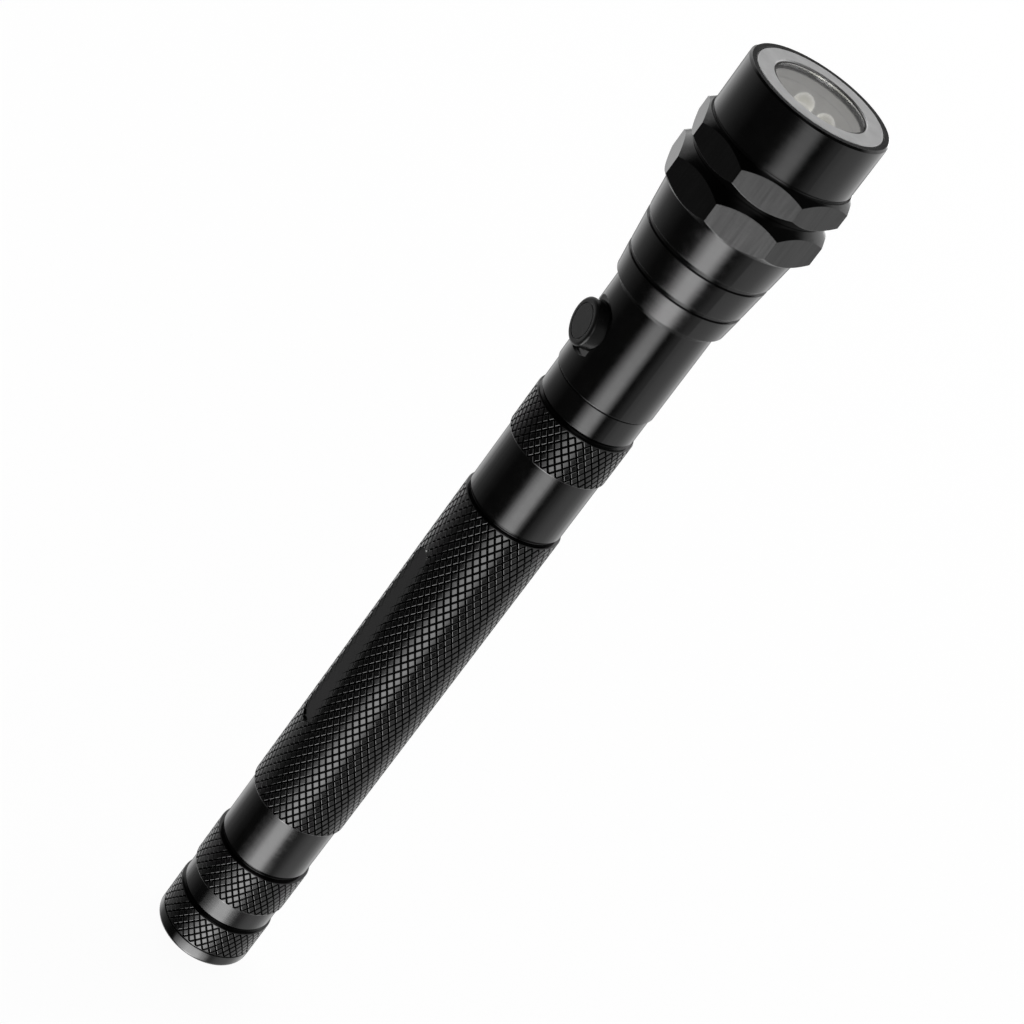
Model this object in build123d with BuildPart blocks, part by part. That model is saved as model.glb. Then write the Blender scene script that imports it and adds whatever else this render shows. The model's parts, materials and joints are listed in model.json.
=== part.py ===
"""Magnetic pickup tool: knurled handle, five telescoping tubes, flexible neck and a lamp head.

The tool stands closed on its tail. The origin is the centre of the tail's end face, +Z runs up
the tool towards the lamp, and the push button faces -Y. All sizes are in millimetres.
"""
import os
from math import cos, radians

from build123d import *

# ------------------------------------------------------------------ driving dimensions
CLOSED_LENGTH = 171.5
HANDLE_LENGTH = 119.4  # tail face to the shoulder of the head
KNURL_RADIUS = 8.05  # crests of every knurled band
BAND_RADIUS = 7.75  # smooth bands between them
REAR_BAND_RADIUS = 7.65
GROOVE_RADIUS = 7.3
GROOVE_FLANK = 0.1  # height of a groove's lower flank
GROOVE_BEVEL = 0.2  # height of the bevel over a groove
CHAMFER = 0.4  # bevel where two pieces meet
EDGE = 0.15  # fine bevel of a turned edge

RUN = 0.05  # radial clearance of pieces that slide or turn
SEAT = 0.02  # radial gap of pieces that are bonded, crimped or screwed home
FACE_GAP = 0.05  # axial gap at a parting face

# Telescoping tubes, from the widest to the narrowest
TUBE_RADII = [6.10, 5.35, 4.65, 4.05, 3.45]
TUBE_LENGTHS = [92.2, 80.5, 78.5, 78.0, 77.5]
TUBE_TRAVELS = [49.9, 73.0, 69.6, 69.8, 70.5]
TUBE_WALL = 0.4
TUBE_MOUTH = 116.2  # height of every tube's mouth when the tool is closed
LIP_HEIGHT = 1.4  # the mouth of each tube is rolled in over this height
LIP_LAND = 0.9  # straight part of the lip's bore
LIP_SLOPE = 1.2  # height over which the outside rounds in to the lip
LIP_EDGE = 0.25  # thickness of the lip at the very mouth
SLEEVE_SLIT = 1.2  # gap along each split friction sleeve
STOP_GAP = 0.1  # left between a stop and its shoulder at full travel
FIRST_SLEEVE = 8.0  # length of the friction sleeve on the widest tube

# Flexible neck
NECK_RADIUS = 2.6
NECK_BORE = 1.6
CORE_RADIUS = 0.9
NECK_TRAVEL = 55.0
NECK_HINGES = 4
NECK_TOP = 116.5  # where the neck enters the head
LINK_GAP = 0.4  # between neighbouring links
NECK_SLIT = 0.8

# Tail cap
CAP_TOP = 8.6
CAP_NOSE_RADIUS = 6.9
CAP_NOSE_TOP = 15.6
MAGNET_CUP_RADIUS = 5.5
MAGNET_CUP_HEIGHT = 4.0
CAP_ROUND = 0.9  # rounding of the tail's rim
CAP_BEVEL = 0.3
CAP_BORE_RADIUS = 4.4
CAP_BORE_BOTTOM = 7.2

# Handle bands, as heights above the tail
TAIL_BAND = 12.8
REAR_KNURL_TOP = 20.65
REAR_GROOVE_TOP = 21.25
MAIN_KNURL = (31.8, 94.9)
FRONT_GROOVE_TOP = 95.4
FRONT_BAND_TOP = 106.7
COLLAR_SPLIT = 114.5
LABEL_HEIGHTS = (47.0, 83.0)
LABEL_DEPTH = 0.35

# Head
HEAD_RADIUS = 8.0
SPIGOT_RADIUS = 7.05
SPIGOT_BOTTOM = 116.5
SWITCH_HEIGHT = 127.5
BUTTON_RADIUS = 3.6
BUTTON_FACE = 9.45  # distance of the button's face from the tool's axis
BUTTON_ROUND = 0.5
SPOT_FACE = 7.45  # distance of the flat round the button from the axis
SPOT_RADIUS = 4.5
BARREL_TOP = 135.1  # the head flares out above this
HEAD_RINGS = [  # lower and upper edge of each flared ring, as (radius, height)
    ((8.85, 135.9), (9.28, 139.45)),
    ((9.35, 140.2), (9.88, 144.95)),
    ((9.98, 145.8), (10.6, 151.5)),
]
HEAD_GROOVES = [  # the grooves between them
    ((9.0, 139.6), (9.0, 140.05)),
    ((9.6, 145.1), (9.6, 145.65)),
]
BARREL_BORE = 6.5
OCTAGON_RADIUS = 12.4  # over the corners
OCTAGON_CHAMFER = 1.15
WAIST_RADII = (11.25, 10.65)  # the taper between the octagons, beside them and at the joint
REAR_OCTAGON = (151.5, 156.7)
FRONT_OCTAGON = (158.0, 162.5)
BEZEL_SPLIT = 157.35
BEZEL_RADIUS = 11.1
BEZEL_GROOVE_RADIUS = 10.9
BEZEL_GROOVE_HEIGHT = 0.3
BEZEL_BEVEL = 0.3
NOSE_RADIUS = 9.4
NOSE_BORE = 7.5
NOSE_TOP = 164.3

# Lamp, magnet and batteries
MAGNET_RADII = (7.3, 10.0)
MAGNET_BOTTOM = 165.25
CELL_RADIUS = 5.8
CELL_HEIGHT = 5.35
CELL_PITCH = 5.4
CELL_COUNT = 4
CELL_BOTTOM = 134.75
CELL_RIM_RADIUS = 5.0
CELL_RIM_HEIGHT = 0.4
CELL_SHOULDER = 0.9
BATTERY_SLEEVE_TOP = 157.2
BOARD_BOTTOM = 160.15
BOARD_THICKNESS = 1.0
LED_RADIUS = 1.5
LED_CIRCLE = 2.45
LED_COUNT = 3
LED_START = 180  # angle of the first one

THREAD_PITCH = 1.0
THREAD_DEPTH = 0.45
CORD_RADIUS = 0.58  # O-ring cord
SEAL_GROOVE_HALF = 0.65  # half the height of an O-ring's groove
THROUGH = 8.0  # length of a cut that passes right out of a wall

os.makedirs("parts", exist_ok=True)


# ------------------------------------------------------------------ shared shapes
def turned(outline, mode=Mode.ADD):
    """Turn a closed outline of (radius, height) points about the tool's axis."""
    with BuildSketch(Plane.XZ) as profile:
        with BuildLine():
            Polyline(*outline, close=True)
        make_face()
    revolve(profile.sketch, axis=Axis.Z, mode=mode)


def sleeve(inner, outer, bottom, top, mode=Mode.ADD):
    """A plain ring between two radii and two heights."""
    turned([(inner, bottom), (outer, bottom), (outer, top), (inner, top)], mode)


def thread_points(radius, bottom, top):
    """Points up the flank of a male thread, drawn as V rings."""
    points = []
    for ring in range(int((top - bottom) / THREAD_PITCH)):
        height = bottom + ring * THREAD_PITCH
        points.append((radius, height))
        points.append((radius - THREAD_DEPTH, height + THREAD_PITCH / 2))
    return points + [(radius, top)]


def octagon_collar(bottom, top):
    """An eight-sided collar whose corners are chamfered at both ends."""
    with BuildSketch(Plane.XY.offset(bottom)) as outline:
        RegularPolygon(OCTAGON_RADIUS, 8)
    extrude(outline.sketch, amount=top - bottom)
    turned(
        [
            (0, bottom),
            (OCTAGON_RADIUS - OCTAGON_CHAMFER, bottom),
            (OCTAGON_RADIUS, bottom + OCTAGON_CHAMFER),
            (OCTAGON_RADIUS, top - OCTAGON_CHAMFER),
            (OCTAGON_RADIUS - OCTAGON_CHAMFER, top),
            (0, top),
        ],
        mode=Mode.INTERSECT,
    )


def finish_part(builder, name):
    """Name a piece and write its STEP file."""
    builder.part.label = name
    export_step(builder.part, f"parts/{name}.step")


# ------------------------------------------------------------------ handle
HANDLE_BOTTOM = CAP_TOP + 2 * FACE_GAP
THREAD_BORE_TOP = 17.0
TUBE_BOTTOM = TUBE_MOUTH - TUBE_LENGTHS[0]
HANDLE_STOP = TUBE_BOTTOM + FIRST_SLEEVE + TUBE_TRAVELS[0] + STOP_GAP
TUBE_BORE = TUBE_RADII[0] + RUN
SLEEVE_BORE = 6.6  # the wider rear bore that the first sleeve slides in
COLLAR_NOSE_RADIUS = 6.95
COLLAR_NOSE_BOTTOM = 108.0

with BuildPart() as handle_tube:
    turned(
        [
            (CAP_NOSE_RADIUS + RUN, HANDLE_BOTTOM),
            (BAND_RADIUS - CHAMFER, HANDLE_BOTTOM),
            (BAND_RADIUS, HANDLE_BOTTOM + CHAMFER),
            (BAND_RADIUS, TAIL_BAND),
            (KNURL_RADIUS, TAIL_BAND),
            (KNURL_RADIUS, REAR_KNURL_TOP),
            (GROOVE_RADIUS, REAR_KNURL_TOP + GROOVE_FLANK),
            (GROOVE_RADIUS, REAR_GROOVE_TOP),
            (REAR_BAND_RADIUS, REAR_GROOVE_TOP + GROOVE_BEVEL),
            (REAR_BAND_RADIUS, MAIN_KNURL[0]),
            (KNURL_RADIUS, MAIN_KNURL[0]),
            (KNURL_RADIUS, MAIN_KNURL[1]),
            (GROOVE_RADIUS, MAIN_KNURL[1] + GROOVE_FLANK),
            (GROOVE_RADIUS, FRONT_GROOVE_TOP),
            (BAND_RADIUS, FRONT_GROOVE_TOP + GROOVE_BEVEL),
            (BAND_RADIUS, FRONT_BAND_TOP),
            (KNURL_RADIUS, FRONT_BAND_TOP),
            (KNURL_RADIUS, COLLAR_SPLIT - CHAMFER),
            (BAND_RADIUS - CHAMFER, COLLAR_SPLIT),
            (COLLAR_NOSE_RADIUS + RUN, COLLAR_SPLIT),
            (COLLAR_NOSE_RADIUS + RUN, COLLAR_NOSE_BOTTOM),
            (TUBE_BORE, COLLAR_NOSE_BOTTOM),
            (TUBE_BORE, HANDLE_STOP),
            (SLEEVE_BORE, HANDLE_STOP),
            (SLEEVE_BORE, THREAD_BORE_TOP),
            (CAP_NOSE_RADIUS + RUN, THREAD_BORE_TOP),
        ]
    )
    # label flat on the button's side, milled with a round-nosed slot
    label_plane = Plane.XZ.offset(KNURL_RADIUS - LABEL_DEPTH)
    label_width = 2 * (KNURL_RADIUS**2 - (KNURL_RADIUS - LABEL_DEPTH) ** 2) ** 0.5
    with BuildSketch(label_plane):
        with Locations((0, sum(LABEL_HEIGHTS) / 2)):
            SlotOverall(LABEL_HEIGHTS[1] - LABEL_HEIGHTS[0], label_width, rotation=90)
    extrude(amount=THROUGH, mode=Mode.SUBTRACT)
finish_part(handle_tube, "handle_tube")

COLLAR_TOP = HANDLE_LENGTH - 2 * FACE_GAP
with BuildPart() as mouth_collar:
    turned(
        [
            (TUBE_BORE, COLLAR_NOSE_BOTTOM + FACE_GAP),
            (COLLAR_NOSE_RADIUS, COLLAR_NOSE_BOTTOM + FACE_GAP),
            (COLLAR_NOSE_RADIUS, COLLAR_SPLIT + FACE_GAP),
            (BAND_RADIUS - CHAMFER, COLLAR_SPLIT + FACE_GAP),
            (BAND_RADIUS, COLLAR_SPLIT + FACE_GAP + CHAMFER),
            (BAND_RADIUS, COLLAR_TOP - EDGE),
            (BAND_RADIUS - EDGE, COLLAR_TOP),
            (SPIGOT_RADIUS + RUN, COLLAR_TOP),
            (SPIGOT_RADIUS + RUN, SPIGOT_BOTTOM - 2 * FACE_GAP),
            (TUBE_BORE, SPIGOT_BOTTOM - 2 * FACE_GAP),
        ]
    )
finish_part(mouth_collar, "mouth_collar")

# ------------------------------------------------------------------ tail cap and its magnet
SEAL_HEIGHT = 9.9
SEAL_RADIUS = CAP_NOSE_RADIUS + RUN - SEAT - CORD_RADIUS  # centre of the cord

with BuildPart() as tail_cap:
    turned(
        [
            (0, MAGNET_CUP_HEIGHT + FACE_GAP),
            (MAGNET_CUP_RADIUS + SEAT, MAGNET_CUP_HEIGHT + FACE_GAP),
            (MAGNET_CUP_RADIUS + SEAT, 0),
            (KNURL_RADIUS, 0),
            (KNURL_RADIUS, CAP_TOP - CAP_BEVEL),
            (BAND_RADIUS - CHAMFER, CAP_TOP),
            (CAP_NOSE_RADIUS, CAP_TOP),
            (CAP_NOSE_RADIUS, SEAL_HEIGHT - SEAL_GROOVE_HALF),
            (SEAL_RADIUS - CORD_RADIUS - SEAT, SEAL_HEIGHT - SEAL_GROOVE_HALF),
            (SEAL_RADIUS - CORD_RADIUS - SEAT, SEAL_HEIGHT + SEAL_GROOVE_HALF),
            *thread_points(CAP_NOSE_RADIUS, SEAL_HEIGHT + SEAL_GROOVE_HALF, CAP_NOSE_TOP),
            (CAP_BORE_RADIUS, CAP_NOSE_TOP),
            (CAP_BORE_RADIUS, CAP_BORE_BOTTOM),
            (0, CAP_BORE_BOTTOM),
        ]
    )
    tail_rim = tail_cap.edges().filter_by(GeomType.CIRCLE).group_by(Axis.Z)[0].sort_by(SortBy.RADIUS)[-1]
    fillet(tail_rim, CAP_ROUND)
finish_part(tail_cap, "tail_cap")

with BuildPart() as tail_o_ring:
    with BuildSketch(Plane.XZ) as cord:
        with Locations((SEAL_RADIUS, SEAL_HEIGHT)):
            Circle(CORD_RADIUS)
    revolve(axis=Axis.Z)
finish_part(tail_o_ring, "tail_o_ring")

TAIL_MAGNET_RADIUS = 4.6
TAIL_MAGNET_HEIGHT = 3.1
TAIL_MAGNET_CHAMFER = 0.2
with BuildPart() as tail_magnet_cup:
    sleeve(TAIL_MAGNET_RADIUS + SEAT, MAGNET_CUP_RADIUS, 0, TAIL_MAGNET_HEIGHT + SEAT)
    sleeve(0, MAGNET_CUP_RADIUS, TAIL_MAGNET_HEIGHT + SEAT, MAGNET_CUP_HEIGHT)
finish_part(tail_magnet_cup, "tail_magnet_cup")

with BuildPart() as tail_magnet:
    Cylinder(
        TAIL_MAGNET_RADIUS,
        TAIL_MAGNET_HEIGHT,
        align=(Align.CENTER, Align.CENTER, Align.MIN),
    )
    chamfer(tail_magnet.edges().group_by(Axis.Z)[0], TAIL_MAGNET_CHAMFER)
finish_part(tail_magnet, "tail_magnet")

# ------------------------------------------------------------------ telescoping tubes
for number, (radius, length, travel) in enumerate(
    zip(TUBE_RADII, TUBE_LENGTHS, TUBE_TRAVELS), start=1
):
    bottom = TUBE_MOUTH - length
    bore = radius - TUBE_WALL
    inner_piece = TUBE_RADII[number] if number < len(TUBE_RADII) else NECK_RADIUS
    lip = inner_piece + RUN
    with BuildPart() as tube:
        turned(
            [
                (bore, bottom),
                (radius, bottom),
                (radius, TUBE_MOUTH - LIP_SLOPE),
                (lip + LIP_EDGE, TUBE_MOUTH),
                (lip, TUBE_MOUTH),
                (lip, TUBE_MOUTH - LIP_LAND),
                (bore, TUBE_MOUTH - LIP_HEIGHT),
            ]
        )
    finish_part(tube, f"tube_{number}")

    # split spring sleeve clipped round the lower end: it drags on the next bore out
    # and is the stop that meets that bore's lip
    if number == 1:
        outer_bore = SLEEVE_BORE
        sleeve_length = FIRST_SLEEVE
    else:
        outer_bore = TUBE_RADII[number - 2] - TUBE_WALL
        sleeve_length = length - travel - LIP_HEIGHT - STOP_GAP
    with BuildPart() as friction_sleeve:
        sleeve(radius + SEAT, outer_bore - RUN, bottom, bottom + sleeve_length)
        with BuildSketch(Plane.XY.offset(bottom)):
            with Locations((outer_bore / 2, 0)):
                Rectangle(outer_bore, SLEEVE_SLIT)
        extrude(amount=sleeve_length, mode=Mode.SUBTRACT)
    finish_part(friction_sleeve, f"friction_sleeve_{number}")

# ------------------------------------------------------------------ flexible neck
NARROW_BORE = TUBE_RADII[-1] - TUBE_WALL
SLUG_TOP = TUBE_MOUTH - LIP_HEIGHT - STOP_GAP - NECK_TRAVEL
SLUG_HEIGHT = 9.0
SLUG_BOTTOM = SLUG_TOP - SLUG_HEIGHT
FLANGE = 1.0
SLUG_WAIST = 2.4
NECK_BOTTOM = TUBE_MOUTH - NECK_TRAVEL  # lowest point that leaves the narrowest tube
LINK_PITCH = (NECK_TOP - NECK_BOTTOM) / NECK_HINGES
HINGE_HEIGHTS = [NECK_BOTTOM + LINK_PITCH * (k + 0.5) for k in range(NECK_HINGES)]
NECK_END = 123.4

with BuildPart() as neck_slug:
    turned(
        [
            (0, SLUG_BOTTOM),
            (NARROW_BORE - 2 * RUN, SLUG_BOTTOM),
            (NARROW_BORE - 2 * RUN, SLUG_BOTTOM + FLANGE),
            (SLUG_WAIST, SLUG_BOTTOM + FLANGE),
            (SLUG_WAIST, SLUG_TOP - FLANGE),
            (NARROW_BORE - 2 * RUN, SLUG_TOP - FLANGE),
            (NARROW_BORE - 2 * RUN, SLUG_TOP),
            (0, SLUG_TOP),
        ]
    )
finish_part(neck_slug, "neck_slug")

with BuildPart() as neck_friction_sleeve:
    sleeve(
        SLUG_WAIST + RUN,
        NARROW_BORE - RUN,
        SLUG_BOTTOM + FLANGE + FACE_GAP,
        SLUG_TOP - FLANGE - FACE_GAP,
    )
    with BuildSketch(Plane.XY.offset(SLUG_BOTTOM)):
        with Locations((NARROW_BORE / 2, 0)):
            Rectangle(NARROW_BORE, NECK_SLIT)
    extrude(amount=SLUG_HEIGHT, mode=Mode.SUBTRACT)
finish_part(neck_friction_sleeve, "neck_friction_sleeve")

link_names = ["neck_coil_base"]
link_names += [f"neck_link_{k:02d}" for k in range(1, NECK_HINGES)]
link_names += ["neck_coil_end"]
link_bottoms = [SLUG_TOP] + [height + LINK_GAP / 2 for height in HINGE_HEIGHTS]
link_tops = [height - LINK_GAP / 2 for height in HINGE_HEIGHTS] + [NECK_END]
for name, bottom, top in zip(link_names, link_bottoms, link_tops):
    with BuildPart() as neck_link:
        sleeve(NECK_BORE, NECK_RADIUS, bottom, top)
        sleeve(0, CORE_RADIUS, bottom, top)
    finish_part(neck_link, name)

NECK_WALL_TOP = 121.0  # top of the head's rear wall, which the ferrule passes through
FERRULE_RADIUS = 3.0
FERRULE_TOP = 123.5
with BuildPart() as neck_ferrule:
    sleeve(NECK_RADIUS + SEAT, FERRULE_RADIUS, SPIGOT_BOTTOM + 2 * FACE_GAP, FERRULE_TOP)
finish_part(neck_ferrule, "neck_ferrule")

NUT_ACROSS_FLATS = 9.0
NUT_HEIGHT = 2.4
with BuildPart() as neck_lock_nut:
    with BuildSketch(Plane.XY.offset(NECK_WALL_TOP + FACE_GAP)):
        RegularPolygon(NUT_ACROSS_FLATS / 2 / cos(radians(30)), 6)
        Circle(FERRULE_RADIUS + SEAT, mode=Mode.SUBTRACT)
    extrude(amount=NUT_HEIGHT)
finish_part(neck_lock_nut, "neck_lock_nut")

# ------------------------------------------------------------------ head barrel
BEZEL_SEAL_HEIGHT = 158.85
BEZEL_SEAL_RADIUS = NOSE_RADIUS + RUN - SEAT - CORD_RADIUS
NOSE_BORE_BOTTOM = 157.6
BUTTON_WELL = 3.0  # distance of the well's inner end from the axis

with BuildPart() as head_barrel:
    octagon_collar(*REAR_OCTAGON)
    turned(
        [
            (0, SPIGOT_BOTTOM),
            (SPIGOT_RADIUS, SPIGOT_BOTTOM),
            (SPIGOT_RADIUS, HANDLE_LENGTH),
            (HEAD_RADIUS - EDGE, HANDLE_LENGTH),
            (HEAD_RADIUS, HANDLE_LENGTH + EDGE),
            (HEAD_RADIUS, BARREL_TOP),
            *HEAD_RINGS[0],
            *HEAD_GROOVES[0],
            *HEAD_RINGS[1],
            *HEAD_GROOVES[1],
            *HEAD_RINGS[2],
            (0, REAR_OCTAGON[0]),
        ]
    )
    turned(
        [
            (0, REAR_OCTAGON[1]),
            (WAIST_RADII[0], REAR_OCTAGON[1]),
            (WAIST_RADII[1], BEZEL_SPLIT),
            (NOSE_RADIUS, BEZEL_SPLIT),
            (NOSE_RADIUS, BEZEL_SEAL_HEIGHT - SEAL_GROOVE_HALF),
            (BEZEL_SEAL_RADIUS - CORD_RADIUS - SEAT, BEZEL_SEAL_HEIGHT - SEAL_GROOVE_HALF),
            (BEZEL_SEAL_RADIUS - CORD_RADIUS - SEAT, BEZEL_SEAL_HEIGHT + SEAL_GROOVE_HALF),
            *thread_points(NOSE_RADIUS, BEZEL_SEAL_HEIGHT + SEAL_GROOVE_HALF, NOSE_TOP),
            (0, NOSE_TOP),
        ]
    )
    # battery bore with a wider mouth for the lamp board
    turned(
        [
            (0, NECK_WALL_TOP),
            (BARREL_BORE, NECK_WALL_TOP),
            (BARREL_BORE, NOSE_BORE_BOTTOM),
            (NOSE_BORE, NOSE_BORE_BOTTOM),
            (NOSE_BORE, NOSE_TOP),
            (0, NOSE_TOP),
        ],
        mode=Mode.SUBTRACT,
    )
    sleeve(0, FERRULE_RADIUS + RUN, SPIGOT_BOTTOM, NECK_WALL_TOP, mode=Mode.SUBTRACT)
    # spot face and hole for the push button
    with BuildSketch(Plane.XZ.offset(SPOT_FACE)):
        with Locations((0, SWITCH_HEIGHT)):
            Circle(SPOT_RADIUS)
    extrude(amount=THROUGH, mode=Mode.SUBTRACT)
    with BuildSketch(Plane.XZ.offset(BUTTON_WELL)):
        with Locations((0, SWITCH_HEIGHT)):
            Circle(BUTTON_RADIUS + 2 * RUN)
    extrude(amount=THROUGH, mode=Mode.SUBTRACT)
finish_part(head_barrel, "head_barrel")

# ------------------------------------------------------------------ push switch
BUTTON_BACK = 5.6
SWITCH_FRONT = 4.4
SWITCH_BACK = 0.4
SWITCH_WIDTH = 7.0
PLUNGER_RADIUS = 1.0
PLUNGER_BACK = 3.4
PLUNGER_WELL = 2.2  # distance of the inner end of the plunger's hole from the axis
CARRIER_BOTTOM = 123.7
CARRIER_TOP = 133.2
FACE_LINE_RADIUS = 2.7  # fine line turned round the button's face
FACE_LINE_WIDTH = 0.18
FACE_LINE_DEPTH = 0.12

with BuildPart() as switch_button:
    with BuildSketch(Plane.XZ.offset(BUTTON_BACK)):
        with Locations((0, SWITCH_HEIGHT)):
            Circle(BUTTON_RADIUS)
    extrude(amount=BUTTON_FACE - BUTTON_BACK)
    fillet(switch_button.edges().group_by(Axis.Y)[0], BUTTON_ROUND)
    with BuildSketch(Plane.XZ.offset(BUTTON_FACE)):
        with Locations((0, SWITCH_HEIGHT)):
            Circle(FACE_LINE_RADIUS)
            Circle(FACE_LINE_RADIUS - FACE_LINE_WIDTH, mode=Mode.SUBTRACT)
    extrude(amount=-FACE_LINE_DEPTH, mode=Mode.SUBTRACT)
finish_part(switch_button, "switch_button")

with BuildPart() as switch_plunger:
    with BuildSketch(Plane.XZ.offset(PLUNGER_BACK)):
        with Locations((0, SWITCH_HEIGHT)):
            Circle(PLUNGER_RADIUS)
    extrude(amount=BUTTON_BACK - PLUNGER_BACK)
finish_part(switch_plunger, "switch_plunger")

SPRING_WIRE = 0.15
SPRING_PITCH = 0.38
SPRING_TURNS = 2
SPRING_RADIUS = 1.6
with BuildPart() as switch_spring:
    with BuildLine():
        coil = Helix(
            SPRING_PITCH,
            SPRING_PITCH * SPRING_TURNS,
            SPRING_RADIUS,
            center=(0, -SWITCH_FRONT - SPRING_WIRE - FACE_GAP, SWITCH_HEIGHT),
            direction=(0, -1, 0),
        )
    with BuildSketch(Plane(origin=coil @ 0, z_dir=coil % 0)):
        Circle(SPRING_WIRE)
    sweep(path=coil, is_frenet=True)
finish_part(switch_spring, "switch_spring")

with BuildPart() as switch_body:
    with BuildSketch(Plane.XZ.offset(SWITCH_BACK)):
        with Locations((0, SWITCH_HEIGHT)):
            Rectangle(SWITCH_WIDTH, SWITCH_WIDTH)
    extrude(amount=SWITCH_FRONT - SWITCH_BACK)
    with BuildSketch(Plane.XZ.offset(PLUNGER_WELL)):
        with Locations((0, SWITCH_HEIGHT)):
            Circle(PLUNGER_RADIUS + 2 * RUN)
    extrude(amount=SWITCH_FRONT - PLUNGER_WELL, mode=Mode.SUBTRACT)
finish_part(switch_body, "switch_body")

with BuildPart() as switch_carrier:
    sleeve(0, BARREL_BORE - RUN, CARRIER_BOTTOM, CARRIER_TOP)
    with BuildSketch(Plane.XZ.offset(SWITCH_BACK - FACE_GAP)):
        with Locations((0, SWITCH_HEIGHT)):
            Rectangle(SWITCH_WIDTH + 2 * RUN, SWITCH_WIDTH + 2 * RUN)
    extrude(amount=THROUGH, mode=Mode.SUBTRACT)
    with BuildSketch(Plane.XZ.offset(SWITCH_FRONT)):
        with Locations((0, SWITCH_HEIGHT)):
            Circle(BUTTON_RADIUS + 3 * RUN)
    extrude(amount=THROUGH, mode=Mode.SUBTRACT)
finish_part(switch_carrier, "switch_carrier")

SWITCH_BOARD_TOP = 134.3
REAR_CONTACT_TOP = 134.7
with BuildPart() as switch_board:
    sleeve(0, BARREL_BORE - RUN, CARRIER_TOP + FACE_GAP, SWITCH_BOARD_TOP)
finish_part(switch_board, "switch_board")

with BuildPart() as rear_contact:
    sleeve(0, CELL_RIM_RADIUS, SWITCH_BOARD_TOP, REAR_CONTACT_TOP)
finish_part(rear_contact, "rear_contact")

# ------------------------------------------------------------------ batteries
with BuildPart() as battery_sleeve:
    sleeve(
        CELL_RADIUS + 2 * RUN,
        BARREL_BORE - RUN,
        SWITCH_BOARD_TOP + 2 * FACE_GAP,
        BATTERY_SLEEVE_TOP,
    )
finish_part(battery_sleeve, "battery_sleeve")

with BuildPart() as button_cells:
    for cell in range(CELL_COUNT):
        base = CELL_BOTTOM + cell * CELL_PITCH
        turned(
            [
                (0, base),
                (CELL_RIM_RADIUS, base),
                (CELL_RIM_RADIUS, base + CELL_RIM_HEIGHT),
                (CELL_RADIUS, base + CELL_SHOULDER),
                (CELL_RADIUS, base + CELL_HEIGHT),
                (0, base + CELL_HEIGHT),
            ]
        )
finish_part(button_cells, "button_cells")

# ------------------------------------------------------------------ bezel, magnet and lamp
WEB_BOTTOM = 164.6
WEB_TOP = MAGNET_BOTTOM - FACE_GAP
HOLDER_RADIUS = MAGNET_RADII[0] - RUN
HOLDER_TOP = 169.4
LENS_BOTTOM = 170.0
LENS_TOP = 171.3
LENS_CHAMFER = 0.2
GASKET_BORE = 7.0
BEZEL_BOTTOM = BEZEL_SPLIT + FACE_GAP

with BuildPart() as front_bezel:
    octagon_collar(*FRONT_OCTAGON)
    turned(
        [
            (0, FRONT_OCTAGON[1]),
            (BEZEL_GROOVE_RADIUS, FRONT_OCTAGON[1]),
            (BEZEL_GROOVE_RADIUS, FRONT_OCTAGON[1] + BEZEL_GROOVE_HEIGHT),
            (BEZEL_RADIUS, FRONT_OCTAGON[1] + BEZEL_GROOVE_HEIGHT + GROOVE_BEVEL),
            (BEZEL_RADIUS, CLOSED_LENGTH - BEZEL_BEVEL),
            (BEZEL_RADIUS - BEZEL_BEVEL, CLOSED_LENGTH),
            (0, CLOSED_LENGTH),
        ]
    )
    turned(
        [
            (0, BEZEL_BOTTOM),
            (WAIST_RADII[1], BEZEL_BOTTOM),
            (WAIST_RADII[0], FRONT_OCTAGON[0]),
            (0, FRONT_OCTAGON[0]),
        ]
    )
    sleeve(0, NOSE_RADIUS + RUN, BEZEL_BOTTOM, WEB_BOTTOM, mode=Mode.SUBTRACT)
    sleeve(0, MAGNET_RADII[0] + RUN, WEB_BOTTOM, WEB_TOP, mode=Mode.SUBTRACT)
    sleeve(0, MAGNET_RADII[1] + RUN, WEB_TOP, CLOSED_LENGTH, mode=Mode.SUBTRACT)
finish_part(front_bezel, "front_bezel")

with BuildPart() as bezel_o_ring:
    with BuildSketch(Plane.XZ):
        with Locations((BEZEL_SEAL_RADIUS, BEZEL_SEAL_HEIGHT)):
            Circle(CORD_RADIUS)
    revolve(axis=Axis.Z)
finish_part(bezel_o_ring, "bezel_o_ring")

with BuildPart() as ring_magnet:
    sleeve(*MAGNET_RADII, MAGNET_BOTTOM, CLOSED_LENGTH)
    chamfer(ring_magnet.edges().group_by(Axis.Z)[-1], EDGE)
finish_part(ring_magnet, "ring_magnet")

with BuildPart() as lens:
    sleeve(0, MAGNET_RADII[0] - RUN, LENS_BOTTOM, LENS_TOP)
    chamfer(lens.edges().group_by(Axis.Z)[-1], LENS_CHAMFER)
finish_part(lens, "lens")

with BuildPart() as lens_gasket:
    sleeve(GASKET_BORE, MAGNET_RADII[0] - RUN, HOLDER_TOP + FACE_GAP, LENS_BOTTOM - FACE_GAP)
finish_part(lens_gasket, "lens_gasket")

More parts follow.
